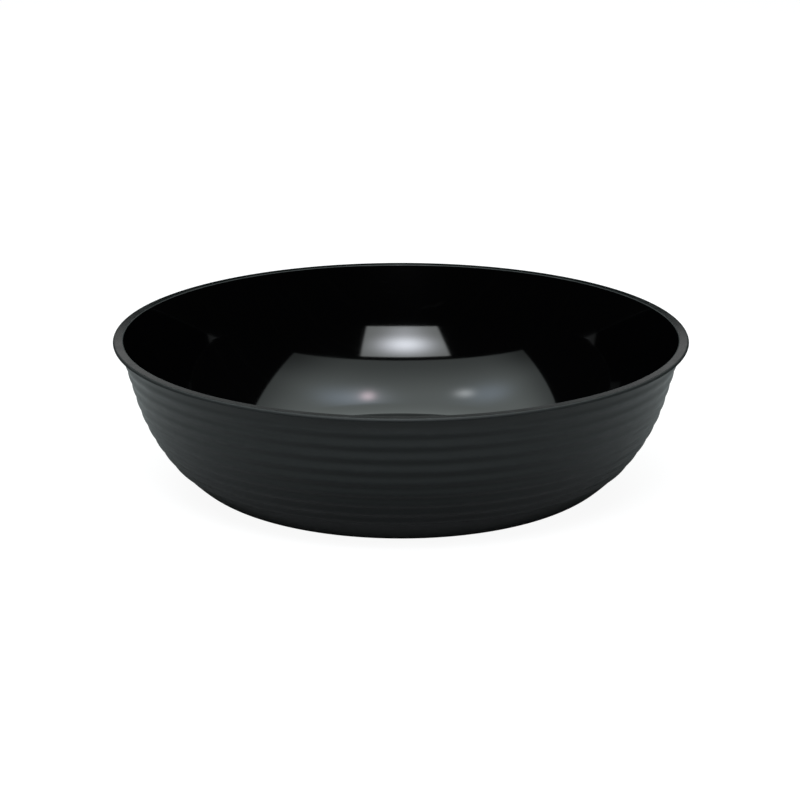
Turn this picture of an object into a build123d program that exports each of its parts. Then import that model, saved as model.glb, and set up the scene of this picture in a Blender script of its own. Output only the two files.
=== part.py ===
from build123d import *
import os
from math import cos, degrees, radians, sin, sqrt, tan

# Ribbed bowl, moulded in one shot from one plastic, so it is one piece.
# A flat floor turns up through a round heel into a curved wall, which gets steeper as it rises
# and runs straight and slightly flared to the mouth. There a narrow flat lip stands out from it.
# The inside is smooth. The outside of the wall carries evenly spaced round ribs that run all
# the way round, and the bowl stands on a low foot ring.
#
# Frame: the origin is the centre of the foot's resting plane, +Z is up the bowl's axis.
# Units are millimetres and degrees. Slopes are measured from the vertical.

bowl_diameter = 381.0     # across the lip's edge
bowl_height = 102.0       # resting plane to the top of the lip
wall = 2.2                # thickness of the floor, and of the wall between its ribs

lip_thickness = 2.4
lip_reach = 4.3           # how far the lip's edge stands out from the wall, at the top of the lip
lip_fillet = 2.0          # hollow between the wall and the lip's underside
mouth_radius = 0.6        # rounds the inner corner between the wall and the top of the lip

wall_slope = 16.0         # the straight upper wall flares this much
wall_curve = 113.0        # outside radius of the curved wall below it
heel_slope = 50.0         # the slope at which the wall hands over to the heel
heel_radius = 36.0        # outside radius of the heel, which ends flat at the base

rib_pitch = 9.2           # crest to crest, along the wall
rib_height = 0.8          # crest above valley
plain_top = 3.6           # smooth wall between the hollow under the lip and the first rib
plain_strip = 10.0        # least width of smooth wall between the last rib and the heel

foot_height = 1.6         # how far the foot ring lifts the base
foot_width = 5.0          # thickness of the foot ring
foot_edge_radius = 0.5    # rounds the foot ring's two lower edges
foot_root_radius = 0.8    # rounds the two corners where the ring meets the base

gate_dish_diameter = 14.0     # shallow dish in the middle of the base, where the mould was filled
gate_dish_depth = 0.7
gate_stub_diameter = 3.6      # what is left of the sprue, standing in the dish
gate_stub_height = 0.4

parts_folder = "parts"


def outward(slope):
    """Unit vector out of the wall where it has this slope: level at 0, straight down at 90."""
    return Vector(cos(radians(slope)), -sin(radians(slope)))


def downward(slope):
    """Unit vector down the wall where it has this slope."""
    return Vector(-sin(radians(slope)), -cos(radians(slope)))


def drop(upper_slope, lower_slope):
    """Height that an arc of radius 1 falls between two slopes."""
    return sin(radians(lower_slope)) - sin(radians(upper_slope))


def straight_wall(height, inset=0):
    """Point of the straight upper wall at this height, on its outside or inset from that."""
    below_lip = bowl_height - height
    radius = lip_radius - lip_reach - below_lip * tan(radians(wall_slope))
    return Vector(radius - inset / cos(radians(wall_slope)), height)


# The straight wall starts under the lip, where the hollow ends, and ends where the curve below
# it has just the height that it needs to turn into the heel, and the heel into the base.
lip_radius = bowl_diameter / 2
lip_underside = bowl_height - lip_thickness
hollow_end = straight_wall(lip_underside - lip_fillet * drop(wall_slope, 90))
hollow_centre = hollow_end + outward(wall_slope) * lip_fillet

curve_fall = wall_curve * drop(wall_slope, heel_slope)
heel_fall = heel_radius * drop(heel_slope, 90)
curve_top = straight_wall(foot_height + heel_fall + curve_fall)
curve_centre = curve_top - outward(wall_slope) * wall_curve
heel_centre = curve_centre + outward(heel_slope) * (wall_curve - heel_radius)
base_radius = heel_centre.X

# The mouth's rounding touches the inside of the straight wall and the top of the lip.
mouth_start = straight_wall(bowl_height - mouth_radius * drop(wall_slope, 90), wall)
mouth_centre = mouth_start + outward(wall_slope) * mouth_radius

# Whole ribs fill the wall between its two plain strips.
straight_length = (hollow_end - curve_top).length
curve_length = wall_curve * radians(heel_slope - wall_slope)
rib_count = int((straight_length + curve_length - plain_top - plain_strip) / rib_pitch)
ribs_end = plain_top + rib_count * rib_pitch


def arc_about(centre, start, end):
    """The short arc about a centre, from one point to another."""
    radius = (start - centre).length
    middle = centre + (start + end - centre * 2).normalized() * radius
    return ThreePointArc(start, middle, end)


def arc_between(centre, radius, start_slope, end_slope):
    """Arc about a centre, from one slope to another. A hollow one has a negative radius."""
    start = centre + outward(start_slope) * radius
    end = centre + outward(end_slope) * radius
    return arc_about(centre, start, end)


def slope_at(distance):
    """Slope of the wall at this distance down its outside from the hollow under the lip."""
    return wall_slope + degrees(max(distance - straight_length, 0) / wall_curve)


def wall_at(distance, rise=0):
    """Point at this distance down the plain wall's outside, raised from it by the given amount."""
    if distance < straight_length:
        return hollow_end + downward(wall_slope) * distance + outward(wall_slope) * rise
    return curve_centre + outward(slope_at(distance)) * (wall_curve + rise)


def inside_edges():
    """The smooth inside, from the middle of the floor up to the flat top of the lip."""
    floor_height = foot_height + wall
    return [
        Line((0, floor_height), (base_radius, floor_height)),
        arc_between(heel_centre, heel_radius - wall, 90, heel_slope),
        arc_between(curve_centre, wall_curve - wall, heel_slope, wall_slope),
        Line(curve_top - outward(wall_slope) * wall, mouth_start),
        arc_between(mouth_centre, -mouth_radius, wall_slope, 90),
    ]


def lip_edges():
    """The flat lip, round its full edge and back down the hollow to the wall's outside."""
    edge_radius = lip_thickness / 2
    edge_centre = Vector(lip_radius - edge_radius, bowl_height - edge_radius)
    edge_top = edge_centre + Vector(0, edge_radius)
    edge_bottom = edge_centre - Vector(0, edge_radius)
    return [
        Line((mouth_centre.X, bowl_height), edge_top),
        ThreePointArc(edge_top, edge_centre + Vector(edge_radius, 0), edge_bottom),
        Line(edge_bottom, (hollow_centre.X, lip_underside)),
        arc_between(hollow_centre, -lip_fillet, 90, wall_slope),
    ]


def turning_point(number):
    """The bottom of a valley, for an even number, or the top of a crest, counted down the wall."""
    return wall_at(plain_top + number * rib_pitch / 2, rib_height * (number % 2))


def flow_point(number):
    """Where the arc round this turning point flows into the arc round the next one."""
    here = turning_point(number)
    following = turning_point(number + 1)
    side = -1 if number % 2 else 1
    here_out = outward(slope_at(plain_top + number * rib_pitch / 2)) * side
    following_out = outward(slope_at(plain_top + (number + 1) * rib_pitch / 2)) * side

    # A valley's centre lies outside the wall and a crest's inside it, both at one radius.
    # The two arcs touch where these centres are two radii apart, which gives the radius.
    apart = here - following
    spread = here_out + following_out
    lean = apart.dot(spread)
    size = apart.dot(apart)
    radius = size / (sqrt(lean ** 2 + (4 - spread.dot(spread)) * size) - lean)
    return (here + here_out * radius + following - following_out * radius) / 2


def rib_edges():
    """The ribs as one smooth wave, from the bottom of the first valley to that of the last."""
    flows = [flow_point(number) for number in range(2 * rib_count)]
    first = TangentArc(turning_point(0), flows[0], tangent=downward(slope_at(plain_top)))
    last = TangentArc(turning_point(2 * rib_count), flows[-1], tangent=-downward(slope_at(ribs_end)))
    edges = [first, last]
    for number in range(1, 2 * rib_count):
        edges.append(ThreePointArc(flows[number - 1], turning_point(number), flows[number]))
    return edges


def outside_edges():
    """The wall's outside: plain strip, ribs, plain strip, and the heel down to the base."""
    return [
        Line(hollow_end, turning_point(0)),
        *rib_edges(),
        arc_between(curve_centre, wall_curve, slope_at(ribs_end), heel_slope),
        arc_between(heel_centre, heel_radius, heel_slope, 90),
    ]


def base_edges():
    """The foot ring, the base inside it, and the axis back up to the floor."""
    ring_inside = base_radius - foot_width
    dish_height = foot_height + gate_dish_depth
    stub_end = dish_height - gate_stub_height
    return Polyline(
        (base_radius, foot_height),
        (base_radius, 0),
        (ring_inside, 0),
        (ring_inside, foot_height),
        (gate_dish_diameter / 2, foot_height),
        (gate_dish_diameter / 2, dish_height),
        (gate_stub_diameter / 2, dish_height),
        (gate_stub_diameter / 2, stub_end),
        (0, stub_end),
        (0, foot_height + wall),
    ).edges()


def round_corners(section, height, radius):
    """Rounds the two corners of the foot ring that lie at one height."""
    corners = [(base_radius, height), (base_radius - foot_width, height)]
    found = []
    for corner in corners:
        found.append(min(section.vertices(), key=lambda v: (v.center() - Vector(*corner)).length))
    return fillet(found, radius)


def make_bowl():
    """The bowl: half its section, with radius along X and height along Y, turned about the axis."""
    edges = inside_edges() + lip_edges() + outside_edges() + base_edges()
    section = make_face(edges)
    section = round_corners(section, 0, foot_edge_radius)
    section = round_corners(section, foot_height, foot_root_radius)
    return revolve(Plane.XZ * section, Axis.Z, 360)


os.makedirs(parts_folder, exist_ok=True)
bowl = make_bowl()
export_step(bowl, os.path.join(parts_folder, "bowl.step"))
print(f"{rib_count} ribs, base radius {base_radius:.2f}, straight wall {straight_length:.1f} long")
print(f"curve from height {curve_top.Y:.2f}, radius {curve_top.X:.2f}")
print(f"lip flat on top from radius {mouth_centre.X:.2f}, below from {hollow_centre.X:.2f}")
print(f"volume {bowl.volume:.0f} cubic mm, valid {bowl.is_valid}")
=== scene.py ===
import bpy
from math import atan, cos, degrees, pi, radians, sin, tan
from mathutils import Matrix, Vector


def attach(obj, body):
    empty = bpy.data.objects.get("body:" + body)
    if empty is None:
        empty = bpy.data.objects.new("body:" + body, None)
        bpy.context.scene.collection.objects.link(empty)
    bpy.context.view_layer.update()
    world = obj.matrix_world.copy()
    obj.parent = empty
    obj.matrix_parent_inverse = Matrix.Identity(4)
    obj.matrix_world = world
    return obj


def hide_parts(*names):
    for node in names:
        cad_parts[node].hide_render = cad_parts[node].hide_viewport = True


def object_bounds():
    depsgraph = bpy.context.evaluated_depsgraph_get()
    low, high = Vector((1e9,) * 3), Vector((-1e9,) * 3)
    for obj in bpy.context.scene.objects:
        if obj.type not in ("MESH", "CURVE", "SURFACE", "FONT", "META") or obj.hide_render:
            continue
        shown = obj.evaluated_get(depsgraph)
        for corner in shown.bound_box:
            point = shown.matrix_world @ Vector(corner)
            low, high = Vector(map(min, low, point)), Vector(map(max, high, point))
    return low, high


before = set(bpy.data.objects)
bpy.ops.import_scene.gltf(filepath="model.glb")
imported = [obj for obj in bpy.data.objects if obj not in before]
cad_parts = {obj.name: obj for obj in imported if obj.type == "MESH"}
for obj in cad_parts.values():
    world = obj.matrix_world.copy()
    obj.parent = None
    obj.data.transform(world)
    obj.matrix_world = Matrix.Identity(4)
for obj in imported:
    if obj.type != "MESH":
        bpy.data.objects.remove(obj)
cadLow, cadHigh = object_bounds()
scene = bpy.context.scene
mm = 0.001

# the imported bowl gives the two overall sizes, the other sizes are this script's own
lipRadius = (cadHigh[0] - cadLow[0]) / 2
rimHeight = cadHigh[2]
print("frame: lip radius", round(lipRadius, 4), "height", round(rimHeight, 4))

cameraSizes = {
    "elevation": 17.06,       # degrees above the table
    "distance": 1.905,
    "aimBelowRim": 0.0463,    # it looks at the bowl's axis, this far below the lip
    "aimAside": -0.0006,
    "lens": 128.2,            # millimetres, as is the sensor's width
    "sensor": 36.0,
    "farClip": 50.0,
}


def makeCamera(s):
    data = bpy.data.cameras.new("camera")
    data.lens = s["lens"]
    data.sensor_width = s["sensor"]
    data.clip_end = s["farClip"]
    camera = bpy.data.objects.new("camera", data)
    scene.collection.objects.link(camera)
    rise = radians(s["elevation"])
    aim = Vector((s["aimAside"], 0, rimHeight - s["aimBelowRim"]))
    back = Vector((0, -cos(rise), sin(rise)))
    camera.location = aim + back * s["distance"]
    camera.rotation_euler = back.to_track_quat("Z", "Y").to_euler()
    scene.camera = camera


makeCamera(cameraSizes)
scene.view_settings.view_transform = "Standard"    # plain colours, so black plastic stays black
print("camera: made")


# small helpers for every node tree, a value is set on a socket and an output is linked to it

def plug(tree, socket, value):
    if isinstance(value, bpy.types.NodeSocket):
        tree.links.new(value, socket)
    else:
        socket.default_value = value


def addNode(tree, kind, settings=None, inputs=None):
    node = tree.nodes.new(kind)
    for name, value in (settings or {}).items():
        setattr(node, name, value)
    for name, value in (inputs or {}).items():
        plug(tree, node.inputs[name], value)
    return node


def mathNode(tree, operation, *values, clamp=False):
    node = addNode(tree, "ShaderNodeMath", {"operation": operation, "use_clamp": clamp})
    for socket, value in zip(node.inputs, values):
        plug(tree, socket, value)
    return node.outputs[0]


def rangeNode(tree, value, low, high, toLow=0.0, toHigh=1.0, smooth=True):
    # value from low to high becomes toLow to toHigh, and stays at the nearer one outside
    kind = "SMOOTHSTEP" if smooth else "LINEAR"
    node = addNode(tree, "ShaderNodeMapRange", {"interpolation_type": kind},
                   {"Value": value, "From Min": low, "From Max": high,
                    "To Min": toLow, "To Max": toHigh})
    return node.outputs["Result"]


def addSocket(tree, name, kind, direction, default=None):
    socket = tree.interface.new_socket(name=name, in_out=direction, socket_type=kind)
    if default is not None:
        socket.default_value = default


def emptyTree(owner):
    # a material's, a light's or the world's node tree, with nothing in it
    owner.use_nodes = True
    owner.node_tree.nodes.clear()
    return owner.node_tree


# the bowl's half section: a chain of points, each a dictionary with its place as (radius, height)
# and what the nodes ask of it: kind, distance down the ribbed wall, and the way out of the wall

bowlSizes = {
    "wall": 2.2 * mm,
    "lipThickness": 2.4 * mm,
    "lipReach": 4.3 * mm,        # lip's edge beyond the wall, at the top of the lip
    "lipFillet": 2.0 * mm,       # hollow under the lip
    "mouthRadius": 0.6 * mm,     # inner corner of the lip
    "wallSlope": 16.0,           # degrees from the vertical, straight upper wall
    "wallCurve": 113.0 * mm,     # curved wall below it
    "heelSlope": 50.0,           # where the curve becomes the heel
    "heelRadius": 36.0 * mm,
    "ribPitch": 9.2 * mm,
    "ribHeight": 0.8 * mm,
    "plainTop": 3.6 * mm,        # smooth wall above the first rib
    "plainStrip": 10.0 * mm,     # least smooth wall below the last one
    "footHeight": 1.6 * mm,
    "footWidth": 5.0 * mm,
    "footEdge": 0.5 * mm,
    "footRoot": 0.8 * mm,
    "partingHeight": 0.06 * mm,  # hair line where the mould halves met, round the lip's edge
    "partingWidth": 0.3 * mm,
    "dishRadius": 7.0 * mm,      # gate mark in the middle of the base
    "dishDepth": 0.7 * mm,
    "stubRadius": 1.8 * mm,
    "stubHeight": 0.4 * mm,
    "gateRound": 0.15 * mm,
    "segments": 288,
}

# how many steps each stretch of the section is drawn with
sectionSteps = {
    "floor": 12,
    "heel": 18,
    "curve": 22,
    "straight": 8,
    "mouth": 7,
    "lipTop": 3,
    "lipUnder": 2,
    "hollow": 6,
    "rib": 14,                   # for each rib
    "strip": 6,                  # curved wall below the ribs
    "outerHeel": 16,
    "corner": 4,                 # for each rounded corner of the foot ring and the gate mark
}

edgeTurns = [75, 60, 45, 32, 20]     # degrees above and below the lip's parting line
samePlace = 0.001 * mm               # points closer than this are one
mergeDistance = 0.002 * mm
guardLength = 0.1 * mm               # from a line's end to the close point beside it
offRibs = -1.0                       # distance down the ribs, for a point that isn't on them

# kinds of surface: the lip's two roundings are equally far from its flat top, on either side
insideKind, mouthKind, lipKind = 0.0, 0.5, 1.0
edgeKind, outsideKind, baseKind = 1.5, 2.0, 3.0


def outward(slope):
    # out of the wall where it has this slope, as (radius, height)
    return Vector((cos(radians(slope)), -sin(radians(slope))))


def drop(upperSlope, lowerSlope):
    # height that an arc of radius 1 falls between two slopes
    return sin(radians(lowerSlope)) - sin(radians(upperSlope))


def straightWall(s, height, inset=0.0):
    slope = radians(s["wallSlope"])
    radius = lipRadius - s["lipReach"] - (rimHeight - height) * tan(slope)
    return Vector((radius - inset / cos(slope), height))


def addPoint(section, place, kind, along=offRibs, out=(0.0, 0.0)):
    place = Vector(place)
    if section and (section[-1]["place"] - place).length < samePlace:
        return
    section.append({"place": place, "kind": kind, "along": along, "out": Vector(out)})


def addLine(section, end, kind, steps):
    # a close point at either end keeps the line's shading flat up to the arcs it joins
    start, end = section[-1]["place"], Vector(end)
    guard = guardLength / (end - start).length
    shares = [guard, *[number / steps for number in range(1, steps)], 1 - guard, 1]
    for share in shares:
        addPoint(section, start.lerp(end, share), kind)


def addArc(section, centre, radius, startSlope, endSlope, kind, steps):
    # a hollow arc has a negative radius
    for number in range(steps + 1):
        slope = startSlope + (endSlope - startSlope) * number / steps
        addPoint(section, centre + outward(slope) * radius, kind)


def addCorners(section, corners, kind, steps):
    # corners are (place, rounding), and the first and the last only give the directions
    for before, (place, rounding), after in zip(corners, corners[1:], corners[2:]):
        corner = Vector(place)
        toBefore = (Vector(before[0]) - corner).normalized()
        toAfter = (Vector(after[0]) - corner).normalized()
        centre = corner + (toBefore + toAfter) * rounding
        for number in range(steps + 1):
            turn = pi / 2 * number / steps
            swing = toAfter * cos(turn) + toBefore * sin(turn)
            addPoint(section, centre - swing * rounding, kind)


def drawSection(s, steps):
    slope, heel = s["wallSlope"], s["heelSlope"]
    wall, lipUnder = s["wall"], rimHeight - s["lipThickness"]
    footHeight = s["footHeight"]
    section = []

    # the same arcs as the solid's: hollow, straight wall, curve, heel
    hollowEnd = straightWall(s, lipUnder - s["lipFillet"] * drop(slope, 90))
    hollowCentre = hollowEnd + outward(slope) * s["lipFillet"]
    fall = s["wallCurve"] * drop(slope, heel) + s["heelRadius"] * drop(heel, 90)
    curveTop = straightWall(s, footHeight + fall)
    curveCentre = curveTop - outward(slope) * s["wallCurve"]
    heelCentre = curveCentre + outward(heel) * (s["wallCurve"] - s["heelRadius"])
    baseRadius = heelCentre.x
    mouthStart = straightWall(s, rimHeight - s["mouthRadius"] * drop(slope, 90), wall)
    mouthCentre = mouthStart + outward(slope) * s["mouthRadius"]

    # inside: floor, heel, curve, straight wall
    addPoint(section, (0, footHeight + wall), insideKind)
    addLine(section, (baseRadius, footHeight + wall), insideKind, steps["floor"])
    addArc(section, heelCentre, s["heelRadius"] - wall, 90, heel, insideKind, steps["heel"])
    addArc(section, curveCentre, s["wallCurve"] - wall, heel, slope, insideKind, steps["curve"])
    addLine(section, mouthStart, insideKind, steps["straight"])

    # lip: inner rounding, flat top, full round edge with its parting line, flat underside, hollow
    edgeRadius = s["lipThickness"] / 2
    edge = Vector((lipRadius - edgeRadius, rimHeight - edgeRadius))
    addArc(section, mouthCentre, -s["mouthRadius"], slope, 90, mouthKind, steps["mouth"])
    addLine(section, edge + Vector((0, edgeRadius)), lipKind, steps["lipTop"])
    upper = [*edgeTurns, degrees(s["partingWidth"] / 2 / edgeRadius)]
    lower = [-turn for turn in reversed(upper)]
    for turn in [*upper, 0, *lower, -90]:
        radius = edgeRadius - (s["partingHeight"] if turn else 0)
        place = edge + Vector((cos(radians(turn)), sin(radians(turn)))) * radius
        addPoint(section, place, edgeKind)
    addLine(section, (hollowCentre.x, lipUnder), outsideKind, steps["lipUnder"])
    addArc(section, hollowCentre, -s["lipFillet"], 90, slope, outsideKind, steps["hollow"])

    # outside: plain wall with the distance down it, to which the nodes add the ribs
    straightLength = (hollowEnd - curveTop).length
    length = straightLength + s["wallCurve"] * radians(heel - slope)
    ribCount = int((length - s["plainTop"] - s["plainStrip"]) / s["ribPitch"])
    ribbed = ribCount * s["ribPitch"]

    def slopeAt(along):
        past = s["plainTop"] + along - straightLength
        return slope + degrees(max(past, 0) / s["wallCurve"])

    for number in range(ribCount * steps["rib"] + 1):
        along = ribbed * number / (ribCount * steps["rib"])
        distance = s["plainTop"] + along
        out = outward(slopeAt(along))
        place = curveCentre + out * s["wallCurve"]
        if distance < straightLength:
            place = hollowEnd.lerp(curveTop, distance / straightLength)
        addPoint(section, place, outsideKind, along, out)
    ribsEnd = slopeAt(ribbed)
    addArc(section, curveCentre, s["wallCurve"], ribsEnd, heel, outsideKind, steps["strip"])
    heelEnd = 90 - degrees(s["footRoot"] / s["heelRadius"])
    addArc(section, heelCentre, s["heelRadius"], heel, heelEnd, outsideKind, steps["outerHeel"])

    # foot ring, base and gate mark, back to the axis
    ringInside = baseRadius - s["footWidth"]
    dishTop = footHeight + s["dishDepth"]
    stubEnd = dishTop - s["stubHeight"]
    addCorners(section, [
        ((baseRadius + s["footWidth"], footHeight), 0),
        ((baseRadius, footHeight), s["footRoot"]),
        ((baseRadius, 0), s["footEdge"]),
        ((ringInside, 0), s["footEdge"]),
        ((ringInside, footHeight), s["footRoot"]),
        ((s["dishRadius"], footHeight), s["gateRound"]),
        ((s["dishRadius"], dishTop), s["gateRound"]),
        ((s["stubRadius"], dishTop), s["gateRound"]),
        ((s["stubRadius"], stubEnd), s["gateRound"]),
        ((0, stubEnd), 0),
    ], baseKind, steps["corner"])
    addPoint(section, (0, stubEnd), baseKind)
    return section


def sectionObject(section):
    mesh = bpy.data.meshes.new("bowlSection")
    places = [(point["place"].x, 0, point["place"].y) for point in section]
    edges = [(number, number + 1) for number in range(len(section) - 1)]
    mesh.from_pydata(places, edges, [])
    kind = mesh.attributes.new("kind", "FLOAT", "POINT")
    along = mesh.attributes.new("along", "FLOAT", "POINT")
    out = mesh.attributes.new("out", "FLOAT_VECTOR", "POINT")
    for number, point in enumerate(section):
        kind.data[number].value = point["kind"]
        along.data[number].value = point["along"]
        out.data[number].vector = (point["out"].x, 0, point["out"].y)
    piece = bpy.data.objects.new("ribbedBowl", mesh)
    scene.collection.objects.link(piece)
    return piece


def bowlTree():
    # raises the ribs on the section, turns it about the axis and gives the faces their finishes
    tree = bpy.data.node_groups.new("turnedBowl", "GeometryNodeTree")
    addSocket(tree, "Section", "NodeSocketGeometry", "INPUT")
    addSocket(tree, "Segments", "NodeSocketInt", "INPUT", 288)
    addSocket(tree, "Rib Pitch", "NodeSocketFloat", "INPUT", 0.009)
    addSocket(tree, "Rib Height", "NodeSocketFloat", "INPUT", 0.001)
    addSocket(tree, "Inside", "NodeSocketMaterial", "INPUT")
    addSocket(tree, "Outside", "NodeSocketMaterial", "INPUT")
    addSocket(tree, "Bowl", "NodeSocketGeometry", "OUTPUT")
    given = addNode(tree, "NodeGroupInput").outputs

    def attribute(name, kind):
        node = addNode(tree, "GeometryNodeInputNamedAttribute", {"data_type": kind}, {"Name": name})
        return node.outputs["Attribute"]

    # one rib is one wave of a cosine, from valley to valley
    along = attribute("along", "FLOAT")
    turns = mathNode(tree, "DIVIDE", along, given["Rib Pitch"])
    wave = mathNode(tree, "COSINE", mathNode(tree, "MULTIPLY", turns, 2 * pi))
    crest = mathNode(tree, "MULTIPLY_ADD", wave, -0.5, 0.5)
    onRibs = mathNode(tree, "GREATER_THAN", along, offRibs / 2)
    crest = mathNode(tree, "MULTIPLY", crest, onRibs)
    rise = addNode(tree, "ShaderNodeVectorMath", {"operation": "SCALE"},
                   {0: attribute("out", "FLOAT_VECTOR"),
                    "Scale": mathNode(tree, "MULTIPLY", crest, given["Rib Height"])})
    stored = addNode(tree, "GeometryNodeStoreNamedAttribute",
                     {"data_type": "FLOAT", "domain": "POINT"},
                     {"Geometry": given["Section"], "Name": "crest", "Value": crest})
    raised = addNode(tree, "GeometryNodeSetPosition", None,
                     {"Geometry": stored.outputs[0], "Offset": rise.outputs[0]})

    # the profile lies flat as (distance out from a circle of radius 1, height turned over)
    parts = addNode(tree, "ShaderNodeSeparateXYZ", None,
                    {0: addNode(tree, "GeometryNodeInputPosition").outputs[0]})
    flat = addNode(tree, "ShaderNodeCombineXYZ", None,
                   {"X": mathNode(tree, "SUBTRACT", parts.outputs["X"], 1.0),
                    "Y": mathNode(tree, "MULTIPLY", parts.outputs["Z"], -1.0), "Z": 0.0})
    laid = addNode(tree, "GeometryNodeSetPosition", None,
                   {"Geometry": raised.outputs[0], "Position": flat.outputs[0]})
    profile = addNode(tree, "GeometryNodeMeshToCurve", None, {"Mesh": laid.outputs[0]})
    circle = addNode(tree, "GeometryNodeCurvePrimitiveCircle", {"mode": "RADIUS"},
                     {"Resolution": given["Segments"], "Radius": 1.0})
    turned = addNode(tree, "GeometryNodeCurveToMesh", None,
                     {"Curve": circle.outputs[0], "Profile Curve": profile.outputs[0]})
    merged = addNode(tree, "GeometryNodeMergeByDistance", None,
                     {"Geometry": turned.outputs[0], "Distance": mergeDistance})
    smooth = addNode(tree, "GeometryNodeSetShadeSmooth", {"domain": "FACE"},
                     {"Geometry": merged.outputs[0], "Shade Smooth": True})
    real = addNode(tree, "GeometryNodeRealizeInstances", None, {"Geometry": smooth.outputs[0]})
    outer = addNode(tree, "GeometryNodeSetMaterial", None,
                    {"Geometry": real.outputs[0], "Material": given["Outside"]})
    insideEnd = (insideKind + mouthKind) / 2
    within = mathNode(tree, "LESS_THAN", attribute("kind", "FLOAT"), insideEnd)
    inner = addNode(tree, "GeometryNodeSetMaterial", None,
                    {"Geometry": outer.outputs[0], "Selection": within,
                     "Material": given["Inside"]})
    addNode(tree, "NodeGroupOutput", None, {"Bowl": inner.outputs[0]})
    return tree


def makeBowl(s, inside, outside):
    piece = sectionObject(drawSection(s, sectionSteps))
    modifier = piece.modifiers.new("turnedBowl", "NODES")
    modifier.node_group = bowlTree()
    wanted = {"Segments": s["segments"], "Rib Pitch": s["ribPitch"], "Rib Height": s["ribHeight"],
              "Inside": inside, "Outside": outside}
    for socket in modifier.node_group.interface.items_tree:
        if socket.name in wanted:
            modifier[socket.identifier] = wanted[socket.name]
    evaluated = piece.evaluated_get(bpy.context.evaluated_depsgraph_get())
    mesh = bpy.data.meshes.new_from_object(evaluated)
    mesh.name = "ribbedBowl"
    piece.modifiers.clear()
    piece.data = mesh
    return piece


# finish effects, each a node group: grain and rubbing are for the outside, hairs for both sides

def newGroup(name, inputs, outputs):
    tree = bpy.data.node_groups.new(name, "ShaderNodeTree")
    for label, default in inputs.items():
        addSocket(tree, label, "NodeSocketFloat", "INPUT", default)
    for label in outputs:
        addSocket(tree, label, "NodeSocketFloat", "OUTPUT")
    place = addNode(tree, "ShaderNodeTexCoord").outputs["Object"]
    return tree, place, addNode(tree, "NodeGroupInput").outputs


def useGroup(tree, group, inputs):
    return addNode(tree, "ShaderNodeGroup", {"node_tree": group}, inputs).outputs


def noiseNode(tree, place, scale, detail, roughness=0.5):
    node = addNode(tree, "ShaderNodeTexNoise", None,
                   {"Vector": place, "Scale": scale, "Detail": detail, "Roughness": roughness})
    return node.outputs["Fac"]


grainLook = {
    "pitSoftness": 0.6,
    "fineScale": 2.3,        # finer than the pits by this
    "fineDetail": 3.0,
    "fineHeight": 0.5,       # against the pits' 1
    "broadScale": 0.05,
    "broadDetail": 2.0,
}

hairLook = {
    "sets": [(0.3, 60.0), (1.4, 75.0), (2.5, 50.0)],     # direction in radians, stretch
    "detail": 1.0,
    "line": (0.665, 0.70),   # noise above this is a hair
    "patchScale": 0.13,
    "patchFull": 0.75,
}

rubLook = {
    "detail": 4.0,
    "roughness": 0.6,
    "broken": (0.42, 0.68),  # noise above this is rubbed
}


def grainGroup(s):
    # fine spark-eroded grain of a mould: rounded pits with a finer roughness over them
    tree, place, given = newGroup("mouldedGrain", {"Size": 0.001}, ["Height", "Shade"])
    scale = mathNode(tree, "DIVIDE", 1.0, given["Size"])
    pits = addNode(tree, "ShaderNodeTexVoronoi", {"feature": "SMOOTH_F1"},
                   {"Vector": place, "Scale": scale, "Smoothness": s["pitSoftness"]})
    fineScale = mathNode(tree, "MULTIPLY", scale, s["fineScale"])
    fine = noiseNode(tree, place, fineScale, s["fineDetail"])
    broadScale = mathNode(tree, "MULTIPLY", scale, s["broadScale"])
    broad = noiseNode(tree, place, broadScale, s["broadDetail"])
    height = mathNode(tree, "MULTIPLY_ADD", fine, s["fineHeight"], pits.outputs["Distance"])
    addNode(tree, "NodeGroupOutput", None, {"Height": height, "Shade": broad})
    return tree


def hairGroup(s):
    # hair scratches from wiping and stacking: three crossing sets of long thin lines, in patches
    tree, place, given = newGroup("hairScratches", {"Length": 0.03, "Spread": 0.5}, ["Mask"])
    scale = mathNode(tree, "DIVIDE", 1.0, given["Length"])
    patchScale = mathNode(tree, "MULTIPLY", scale, s["patchScale"])
    mask = 0.0
    for turn, stretch in s["sets"]:
        turned = addNode(tree, "ShaderNodeMapping", None,
                         {"Vector": place, "Rotation": (0.0, 0.0, turn),
                          "Scale": (1.0, stretch, 1.0)}).outputs[0]
        thin = rangeNode(tree, noiseNode(tree, turned, scale, s["detail"]), *s["line"])
        where = noiseNode(tree, turned, patchScale, s["detail"])
        patch = rangeNode(tree, where, given["Spread"], s["patchFull"])
        mask = mathNode(tree, "MAXIMUM", mask, mathNode(tree, "MULTIPLY", thin, patch))
    addNode(tree, "NodeGroupOutput", None, {"Mask": mask})
    return tree


def rubGroup(s):
    # where a raised place is rubbed: broken up by patches, so that it isn't an even band
    inputs = {"Raised": 0.0, "Patch": 0.02, "Amount": 0.5}
    tree, place, given = newGroup("rubWear", inputs, ["Mask"])
    scale = mathNode(tree, "DIVIDE", 1.0, given["Patch"])
    patch = noiseNode(tree, place, scale, s["detail"], s["roughness"])
    mask = mathNode(tree, "MULTIPLY", given["Raised"], rangeNode(tree, patch, *s["broken"]))
    mask = mathNode(tree, "MULTIPLY", mask, given["Amount"])
    addNode(tree, "NodeGroupOutput", None, {"Mask": mask})
    return tree


grain, hairs, rub = grainGroup(grainLook), hairGroup(hairLook), rubGroup(rubLook)
plasticIor = 1.5

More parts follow.
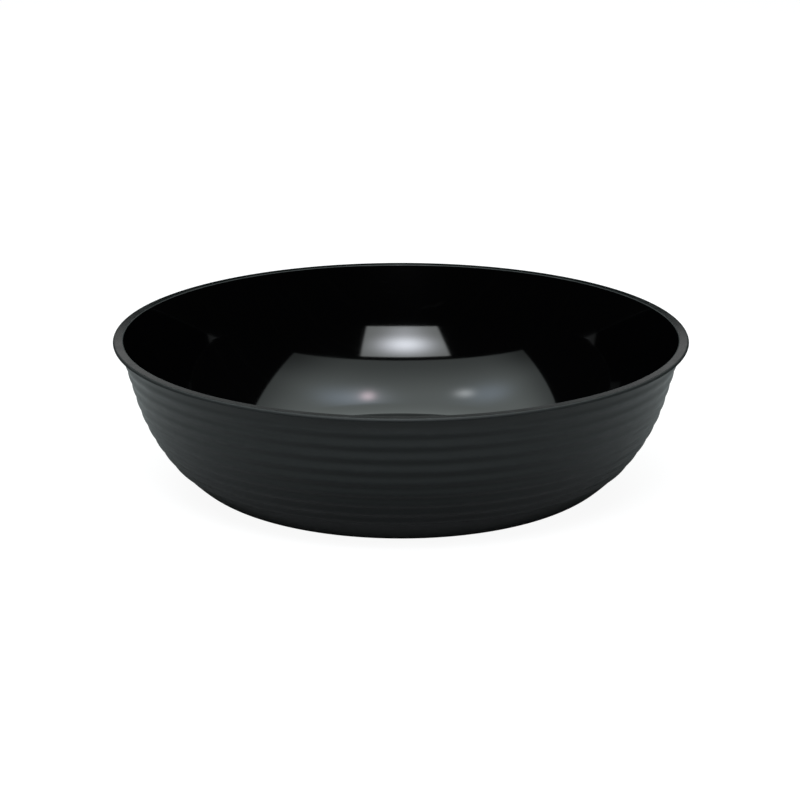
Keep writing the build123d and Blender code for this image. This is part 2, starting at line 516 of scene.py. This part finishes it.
insideFinish = {
    "black": (0.0007, 0.0007, 0.0008, 1.0),
    "scratched": (0.005, 0.005, 0.005, 1.0),
    "roughness": 0.055,
    "hairLength": 0.035,
    "hairSpread": 0.45,      # the lower, the more hairs
    "hairRoughness": 0.05,   # what a hair adds to the roughness
    "hairColour": 0.2,       # share of the scratched colour on a hair
    "hairDepth": 0.02,       # against the ripple's height
    "smudgeSize": 0.06,
    "smudgeDetail": 3.0,
    "smudge": (0.5, 0.75),   # noise above this is a smudge
    "smudgeRoughness": 0.02,
    "rippleScale": 22.0,
    "rippleDetail": 1.0,
    "ripple": 0.02 * mm,     # moulding waviness
}

outsideFinish = {
    "black": (0.0030, 0.0050, 0.0048, 1.0),
    "rubbed": (0.016, 0.018, 0.018, 1.0),
    "grainSize": 0.7 * mm,
    "grainDepth": 0.01 * mm,
    "lipGrain": 0.25,            # share of the grain's depth, the lip is smoother than the wall
    "roughness": 0.39,
    "roughnessSwing": 0.08,      # from the smoothest place to the dullest
    "lipRoughness": 0.13,
    "roundingRoughness": 0.70,
    "roundingReach": (0.35, 0.1),    # how far in kind from a rounding: not dull, and dull
    "rubbedRoughness": 0.27,
    "hairLength": 0.02,
    "hairSpread": 0.5,
    "hairColour": 0.25,
    "hairDepth": 0.4,            # against the grain's depth
    "crestSharpness": 6.0,
    "crestRub": 0.35,            # against the foot ring's 1
    "lipRub": 0.3,
    "footHeights": (0.9 * mm, 0.1 * mm),     # not rubbed, and rubbed
    "rubPatch": 0.012,
    "rubAmount": 0.8,
}


def newMaterial(name):
    material = bpy.data.materials.new(name)
    tree = emptyTree(material)
    shader = addNode(tree, "ShaderNodeBsdfPrincipled", None, {"IOR": plasticIor})
    addNode(tree, "ShaderNodeOutputMaterial", None, {"Surface": shader.outputs[0]})
    return material, tree, shader


def colourBetween(tree, share, first, second):
    node = addNode(tree, "ShaderNodeMix", {"data_type": "RGBA"})
    plug(tree, node.inputs["Factor"], share)
    plug(tree, node.inputs[6], first)
    plug(tree, node.inputs[7], second)
    return node.outputs[2]


def readAttribute(tree, name):
    return addNode(tree, "ShaderNodeAttribute", {"attribute_name": name}).outputs["Fac"]


def polishedInside(s):
    material, tree, shader = newMaterial("polishedInside")
    place = addNode(tree, "ShaderNodeTexCoord").outputs["Object"]
    hairInputs = {"Length": s["hairLength"], "Spread": s["hairSpread"]}
    hair = useGroup(tree, hairs, hairInputs)["Mask"]
    smudge = noiseNode(tree, place, 1 / s["smudgeSize"], s["smudgeDetail"])
    smudge = rangeNode(tree, smudge, *s["smudge"])
    smudge = mathNode(tree, "MULTIPLY", smudge, s["smudgeRoughness"])
    marks = mathNode(tree, "MULTIPLY_ADD", hair, s["hairRoughness"], smudge)
    plug(tree, shader.inputs["Roughness"], mathNode(tree, "ADD", marks, s["roughness"]))
    share = mathNode(tree, "MULTIPLY", hair, s["hairColour"])
    colour = colourBetween(tree, share, s["black"], s["scratched"])
    plug(tree, shader.inputs["Base Color"], colour)
    ripple = noiseNode(tree, place, s["rippleScale"], s["rippleDetail"])
    height = mathNode(tree, "MULTIPLY_ADD", hair, -s["hairDepth"], ripple)
    bump = addNode(tree, "ShaderNodeBump", None, {"Height": height, "Distance": s["ripple"]})
    plug(tree, shader.inputs["Normal"], bump.outputs[0])
    return material


def satinOutside(s):
    material, tree, shader = newMaterial("satinOutside")
    kind = readAttribute(tree, "kind")
    crest = readAttribute(tree, "crest")
    height = addNode(tree, "ShaderNodeSeparateXYZ", None,
                     {0: addNode(tree, "ShaderNodeTexCoord").outputs["Object"]}).outputs["Z"]
    grainOut = useGroup(tree, grain, {"Size": s["grainSize"]})
    hairInputs = {"Length": s["hairLength"], "Spread": s["hairSpread"]}
    hair = useGroup(tree, hairs, hairInputs)["Mask"]

    # rib crests and the lip's flat top rub a little, the foot ring's face most
    onLip = rangeNode(tree, kind, edgeKind, lipKind)
    foot = rangeNode(tree, height, *s["footHeights"])
    ridge = mathNode(tree, "POWER", crest, s["crestSharpness"])
    raised = mathNode(tree, "MULTIPLY", ridge, s["crestRub"])
    raised = mathNode(tree, "MAXIMUM", raised, mathNode(tree, "MULTIPLY", onLip, s["lipRub"]))
    raised = mathNode(tree, "MAXIMUM", raised, foot)
    rubInputs = {"Raised": raised, "Patch": s["rubPatch"], "Amount": s["rubAmount"]}
    worn = useGroup(tree, rub, rubInputs)["Mask"]
    marks = mathNode(tree, "MAXIMUM", worn, mathNode(tree, "MULTIPLY", hair, s["hairColour"]))
    plug(tree, shader.inputs["Base Color"], colourBetween(tree, marks, s["black"], s["rubbed"]))

    swing = s["roughnessSwing"]
    rough = mathNode(tree, "MULTIPLY_ADD", grainOut["Shade"], swing, s["roughness"] - swing / 2)
    rough = rangeNode(tree, onLip, 0.0, 1.0, rough, s["lipRoughness"], smooth=False)
    # the lip's two roundings are dull
    step = mathNode(tree, "ABSOLUTE", mathNode(tree, "SUBTRACT", kind, lipKind))
    step = mathNode(tree, "SUBTRACT", step, edgeKind - lipKind)
    off = mathNode(tree, "ABSOLUTE", step)
    rough = rangeNode(tree, off, *s["roundingReach"], rough, s["roundingRoughness"], smooth=False)
    rough = rangeNode(tree, worn, 0.0, 1.0, rough, s["rubbedRoughness"], smooth=False)
    plug(tree, shader.inputs["Roughness"], rough)

    depth = rangeNode(tree, onLip, 0.0, 1.0, 1.0, s["lipGrain"], smooth=False)
    relief = mathNode(tree, "MULTIPLY", grainOut["Height"], depth)
    relief = mathNode(tree, "MULTIPLY_ADD", hair, -s["hairDepth"], relief)
    bump = addNode(tree, "ShaderNodeBump", None, {"Height": relief, "Distance": s["grainDepth"]})
    plug(tree, shader.inputs["Normal"], bump.outputs[0])
    return material


bowl = makeBowl(bowlSizes, polishedInside(insideFinish), satinOutside(outsideFinish))
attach(bowl, "root")
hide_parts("bowl")
print("bowl:", len(bowl.data.vertices), "points")


floorLook = {
    "size": 14.0,
    "drop": 0.1 * mm,        # just under the foot ring
    # what the camera sees: nearly white, with a little of the bowl's shadow
    "seenColour": (0.95, 0.95, 0.95, 1.0),
    "seenGlow": 0.98,
    "seenAlbedo": (0.17, 0.17, 0.17, 1.0),
    # what the bowl reflects: a wide pale ring round a point at its front, with painted shadow of the
    # bowl inside the ring and painted shade outside it
    "albedo": (0.54, 0.55, 0.55, 1.0),
    "paintedShadowAlbedo": (0.24, 0.24, 0.24, 1.0),   # painted shadow of the bowl, inside the ring
    "paintedFarShadeAlbedo": (0.08, 0.08, 0.08, 1.0),    # painted shade, outside it
    "ringAt": (0.0, -0.16, 0.0),
    "ringFrom": (0.05, 0.40),                # distances over which it becomes pale
    "ringTo": (0.60, 0.85),                  # and over which it becomes dark again
}


def makeFloor(s):
    half = s["size"] / 2
    mesh = bpy.data.meshes.new("floor")
    corners = [(-half, -half), (half, -half), (half, half), (-half, half)]
    mesh.from_pydata([(x, y, -s["drop"]) for x, y in corners], [], [(0, 1, 2, 3)])
    floor = bpy.data.objects.new("floor", mesh)
    scene.collection.objects.link(floor)
    material = bpy.data.materials.new("paleFloor")
    tree = emptyTree(material)
    glow = addNode(tree, "ShaderNodeEmission", None,
                   {"Color": s["seenColour"], "Strength": s["seenGlow"]})
    lit = addNode(tree, "ShaderNodeBsdfDiffuse", None, {"Color": s["seenAlbedo"]})
    seen = addNode(tree, "ShaderNodeAddShader", None, {0: glow.outputs[0], 1: lit.outputs[0]})
    # for reflections the floor's colour carries painted shade: darker near the bowl's front as its
    # shadow, and darker again far away
    place = addNode(tree, "ShaderNodeTexCoord").outputs["Object"]
    away = addNode(tree, "ShaderNodeVectorMath", {"operation": "DISTANCE"},
                   {0: place, 1: s["ringAt"]}).outputs["Value"]
    pale = rangeNode(tree, away, *s["ringFrom"], smooth=False)
    farShadeShare = rangeNode(tree, away, *s["ringTo"])
    albedo = colourBetween(tree, pale, s["paintedShadowAlbedo"], s["albedo"])
    albedo = colourBetween(tree, farShadeShare, albedo, s["paintedFarShadeAlbedo"])
    other = addNode(tree, "ShaderNodeBsdfDiffuse", None, {"Color": albedo})
    fromCamera = addNode(tree, "ShaderNodeLightPath").outputs["Is Camera Ray"]
    mixed = addNode(tree, "ShaderNodeMixShader", None,
                    {0: fromCamera, 1: other.outputs[0], 2: seen.outputs[0]})
    addNode(tree, "ShaderNodeOutputMaterial", None, {"Surface": mixed.outputs[0]})
    mesh.materials.append(material)


makeFloor(floorLook)
print("floor: made")


# studio: all ceiling lights lie on one sloping plane that rises towards the back

ceiling = {
    "height": 0.637,
    "at": -0.522,        # the place along y where it has this height
    "rise": 0.459,       # for each metre along y
}

frontBox = {
    "y": (-0.820, -0.437),
    "frontX": (-0.292, 0.274),   # its two front corners, and its two back ones
    "backX": (-0.292, 0.236),
    "radiance": 18.5,
    "edgeShare": 0.165,          # of the radiance, away from its spots
    "coreAt": (-0.028, -0.575),
    "coreSpread": (0.105, 0.070),
    "glowAt": (-0.028, -0.760),  # a fainter spot near its front edge
    "glowSpread": (0.100, 0.060),
    "glowShare": 0.17,
    "softEdge": 0.02,
    "colour": (0.95, 1.0, 0.99),
    "coreColour": (0.93, 0.97, 1.06),
}

roofPanel = {
    "y": (-0.40, 1.70),
    "frontX": (-0.995, 0.770),
    "backX": (-1.163, 1.106),
    "radiance": 2.2,
    "frontShare": 0.45,          # of the radiance, at its front edge
    "sideShare": 0.42,           # of the radiance, at its left and right edges
    "sideFade": 0.55,            # from an edge to the full radiance
    "brightFrom": -0.02,         # full radiance behind this line
    "softEdge": 0.01,
    "colour": (0.90, 1.0, 0.98),
}

# lamps behind the roof panel: two bright spots, and wider, bluer light round and beside them
lamps = [
    {"at": (0.138, -0.032), "spread": (0.022, 0.036), "radiance": 6.8, "colour": (1.0, 0.72, 0.80)},
    {"at": (0.145, -0.032), "spread": (0.060, 0.060), "radiance": 1.6, "colour": (0.92, 0.92, 1.0)},
    {"at": (0.235, 0.010), "spread": (0.110, 0.075), "radiance": 1.9, "colour": (0.60, 0.75, 1.0)},
    {"at": (-0.286, -0.037), "spread": (0.034, 0.032), "radiance": 4.4, "colour": (0.95, 0.98, 1.0)},
    {"at": (-0.420, 0.005), "spread": (0.110, 0.075), "radiance": 1.7, "colour": (0.60, 0.75, 1.0)},
]

backPanel = {
    "width": 0.84,
    "z": (0.228, 0.312),
    "y": 0.45,
    "radiance": 0.56,
    "fullBelow": 0.245,          # height where its fade upward begins, and where it ends
    "faintAbove": 0.295,
    "faintShare": 0.25,
    "colour": (1.0, 1.0, 1.0),
}

worldLook = {
    "colour": (1.0, 1.0, 1.0, 1.0),
    "seen": 1.0,                 # strength for the camera
    "fill": 0.005,               # and for everything else
}


def areaLight(name, centre, tilt, width, depth, radiance):
    data = bpy.data.lights.new(name, "AREA")
    data.shape = "RECTANGLE"
    data.size = width
    data.size_y = depth
    data.energy = radiance * pi * width * depth
    light = bpy.data.objects.new(name, data)
    light.location = centre
    light.rotation_euler = (tilt, 0, 0)
    light.visible_camera = False
    scene.collection.objects.link(light)
    return emptyTree(data)


def ceilingLight(name, s):
    # a panel on the ceiling's plane, whose sides may slant. Returns its node tree, sockets for
    # x and y in metres, and one for the distance inwards from the nearer side
    low, high = min(s["frontX"][0], s["backX"][0]), max(s["frontX"][1], s["backX"][1])
    width, run = high - low, s["y"][1] - s["y"][0]
    yMiddle = sum(s["y"]) / 2
    height = ceiling["height"] + ceiling["rise"] * (yMiddle - ceiling["at"])
    tilt = atan(ceiling["rise"])
    centre = ((low + high) / 2, yMiddle, height)
    tree = areaLight(name, centre, tilt, width, run / cos(tilt), s["radiance"])
    across = addNode(tree, "ShaderNodeSeparateXYZ", None,
                     {0: addNode(tree, "ShaderNodeNewGeometry").outputs["Parametric"]})
    x = mathNode(tree, "MULTIPLY_ADD", across.outputs["X"], width, low)
    y = mathNode(tree, "MULTIPLY_ADD", across.outputs["Y"], run, s["y"][0])
    sides = []
    for number, inward in enumerate((1, -1)):
        edge = rangeNode(tree, y, *s["y"], s["frontX"][number], s["backX"][number], smooth=False)
        sides.append(mathNode(tree, "MULTIPLY", mathNode(tree, "SUBTRACT", x, edge), inward))
    return tree, x, y, mathNode(tree, "MINIMUM", *sides)


def softSpot(tree, x, y, at, spread):
    # 1 in the middle, falling away like a bell
    across = mathNode(tree, "DIVIDE", mathNode(tree, "SUBTRACT", x, at[0]), spread[0])
    along = mathNode(tree, "DIVIDE", mathNode(tree, "SUBTRACT", y, at[1]), spread[1])
    square = mathNode(tree, "ADD", mathNode(tree, "MULTIPLY", across, across),
                      mathNode(tree, "MULTIPLY", along, along))
    return mathNode(tree, "EXPONENT", mathNode(tree, "MULTIPLY", square, -0.5))


def shine(tree, parts):
    # adds up emissions, each a (strength, colour)
    total = None
    for strength, colour in parts:
        part = addNode(tree, "ShaderNodeEmission", None,
                       {"Strength": strength, "Color": (*colour, 1.0)}).outputs[0]
        if total is not None:
            part = addNode(tree, "ShaderNodeAddShader", None, {0: total, 1: part}).outputs[0]
        total = part
    addNode(tree, "ShaderNodeOutputLight", None, {"Surface": total})


def makeFrontBox(s):
    tree, x, y, inwards = ceilingLight("frontBox", s)
    lit = rangeNode(tree, inwards, 0.0, s["softEdge"])
    even = mathNode(tree, "MULTIPLY", lit, s["edgeShare"])
    core = softSpot(tree, x, y, s["coreAt"], s["coreSpread"])
    core = mathNode(tree, "MULTIPLY", core, 1 - s["edgeShare"])
    glow = softSpot(tree, x, y, s["glowAt"], s["glowSpread"])
    spots = mathNode(tree, "MULTIPLY_ADD", glow, s["glowShare"], core)
    spots = mathNode(tree, "MULTIPLY", spots, lit)
    shine(tree, [(even, s["colour"]), (spots, s["coreColour"])])


def makeRoofPanel(s):
    tree, x, y, inwards = ceilingLight("roofPanel", s)
    even = rangeNode(tree, y, s["y"][0], s["brightFrom"], s["frontShare"], 1.0)
    fade = rangeNode(tree, inwards, 0.0, s["sideFade"], s["sideShare"], 1.0)
    lit = rangeNode(tree, inwards, 0.0, s["softEdge"])
    even = mathNode(tree, "MULTIPLY", mathNode(tree, "MULTIPLY", even, fade), lit)
    parts = [(even, s["colour"])]
    for lamp in lamps:
        spot = softSpot(tree, x, y, lamp["at"], lamp["spread"])
        share = mathNode(tree, "MULTIPLY", spot, lamp["radiance"] / s["radiance"])
        parts.append((share, lamp["colour"]))
    shine(tree, parts)


def makeBackPanel(s):
    height = s["z"][1] - s["z"][0]
    middle = (0, s["y"], sum(s["z"]) / 2)
    tree = areaLight("backPanel", middle, -pi / 2, s["width"], height, s["radiance"])
    down = addNode(tree, "ShaderNodeSeparateXYZ", None,
                   {0: addNode(tree, "ShaderNodeNewGeometry").outputs["Parametric"]}).outputs["Y"]
    z = mathNode(tree, "MULTIPLY_ADD", down, -height, s["z"][1])
    strength = rangeNode(tree, z, s["fullBelow"], s["faintAbove"], 1.0, s["faintShare"])
    shine(tree, [(strength, s["colour"])])


def makeWorld(s):
    world = bpy.data.worlds.new("studio")
    scene.world = world
    tree = emptyTree(world)
    fromCamera = addNode(tree, "ShaderNodeLightPath").outputs["Is Camera Ray"]
    strength = mathNode(tree, "MULTIPLY_ADD", fromCamera, s["seen"] - s["fill"], s["fill"])
    shade = addNode(tree, "ShaderNodeBackground", None,
                    {"Color": s["colour"], "Strength": strength})
    addNode(tree, "ShaderNodeOutputWorld", None, {"Surface": shade.outputs[0]})


makeFrontBox(frontBox)
makeRoofPanel(roofPanel)
makeBackPanel(backPanel)
makeWorld(worldLook)
print("studio: made")
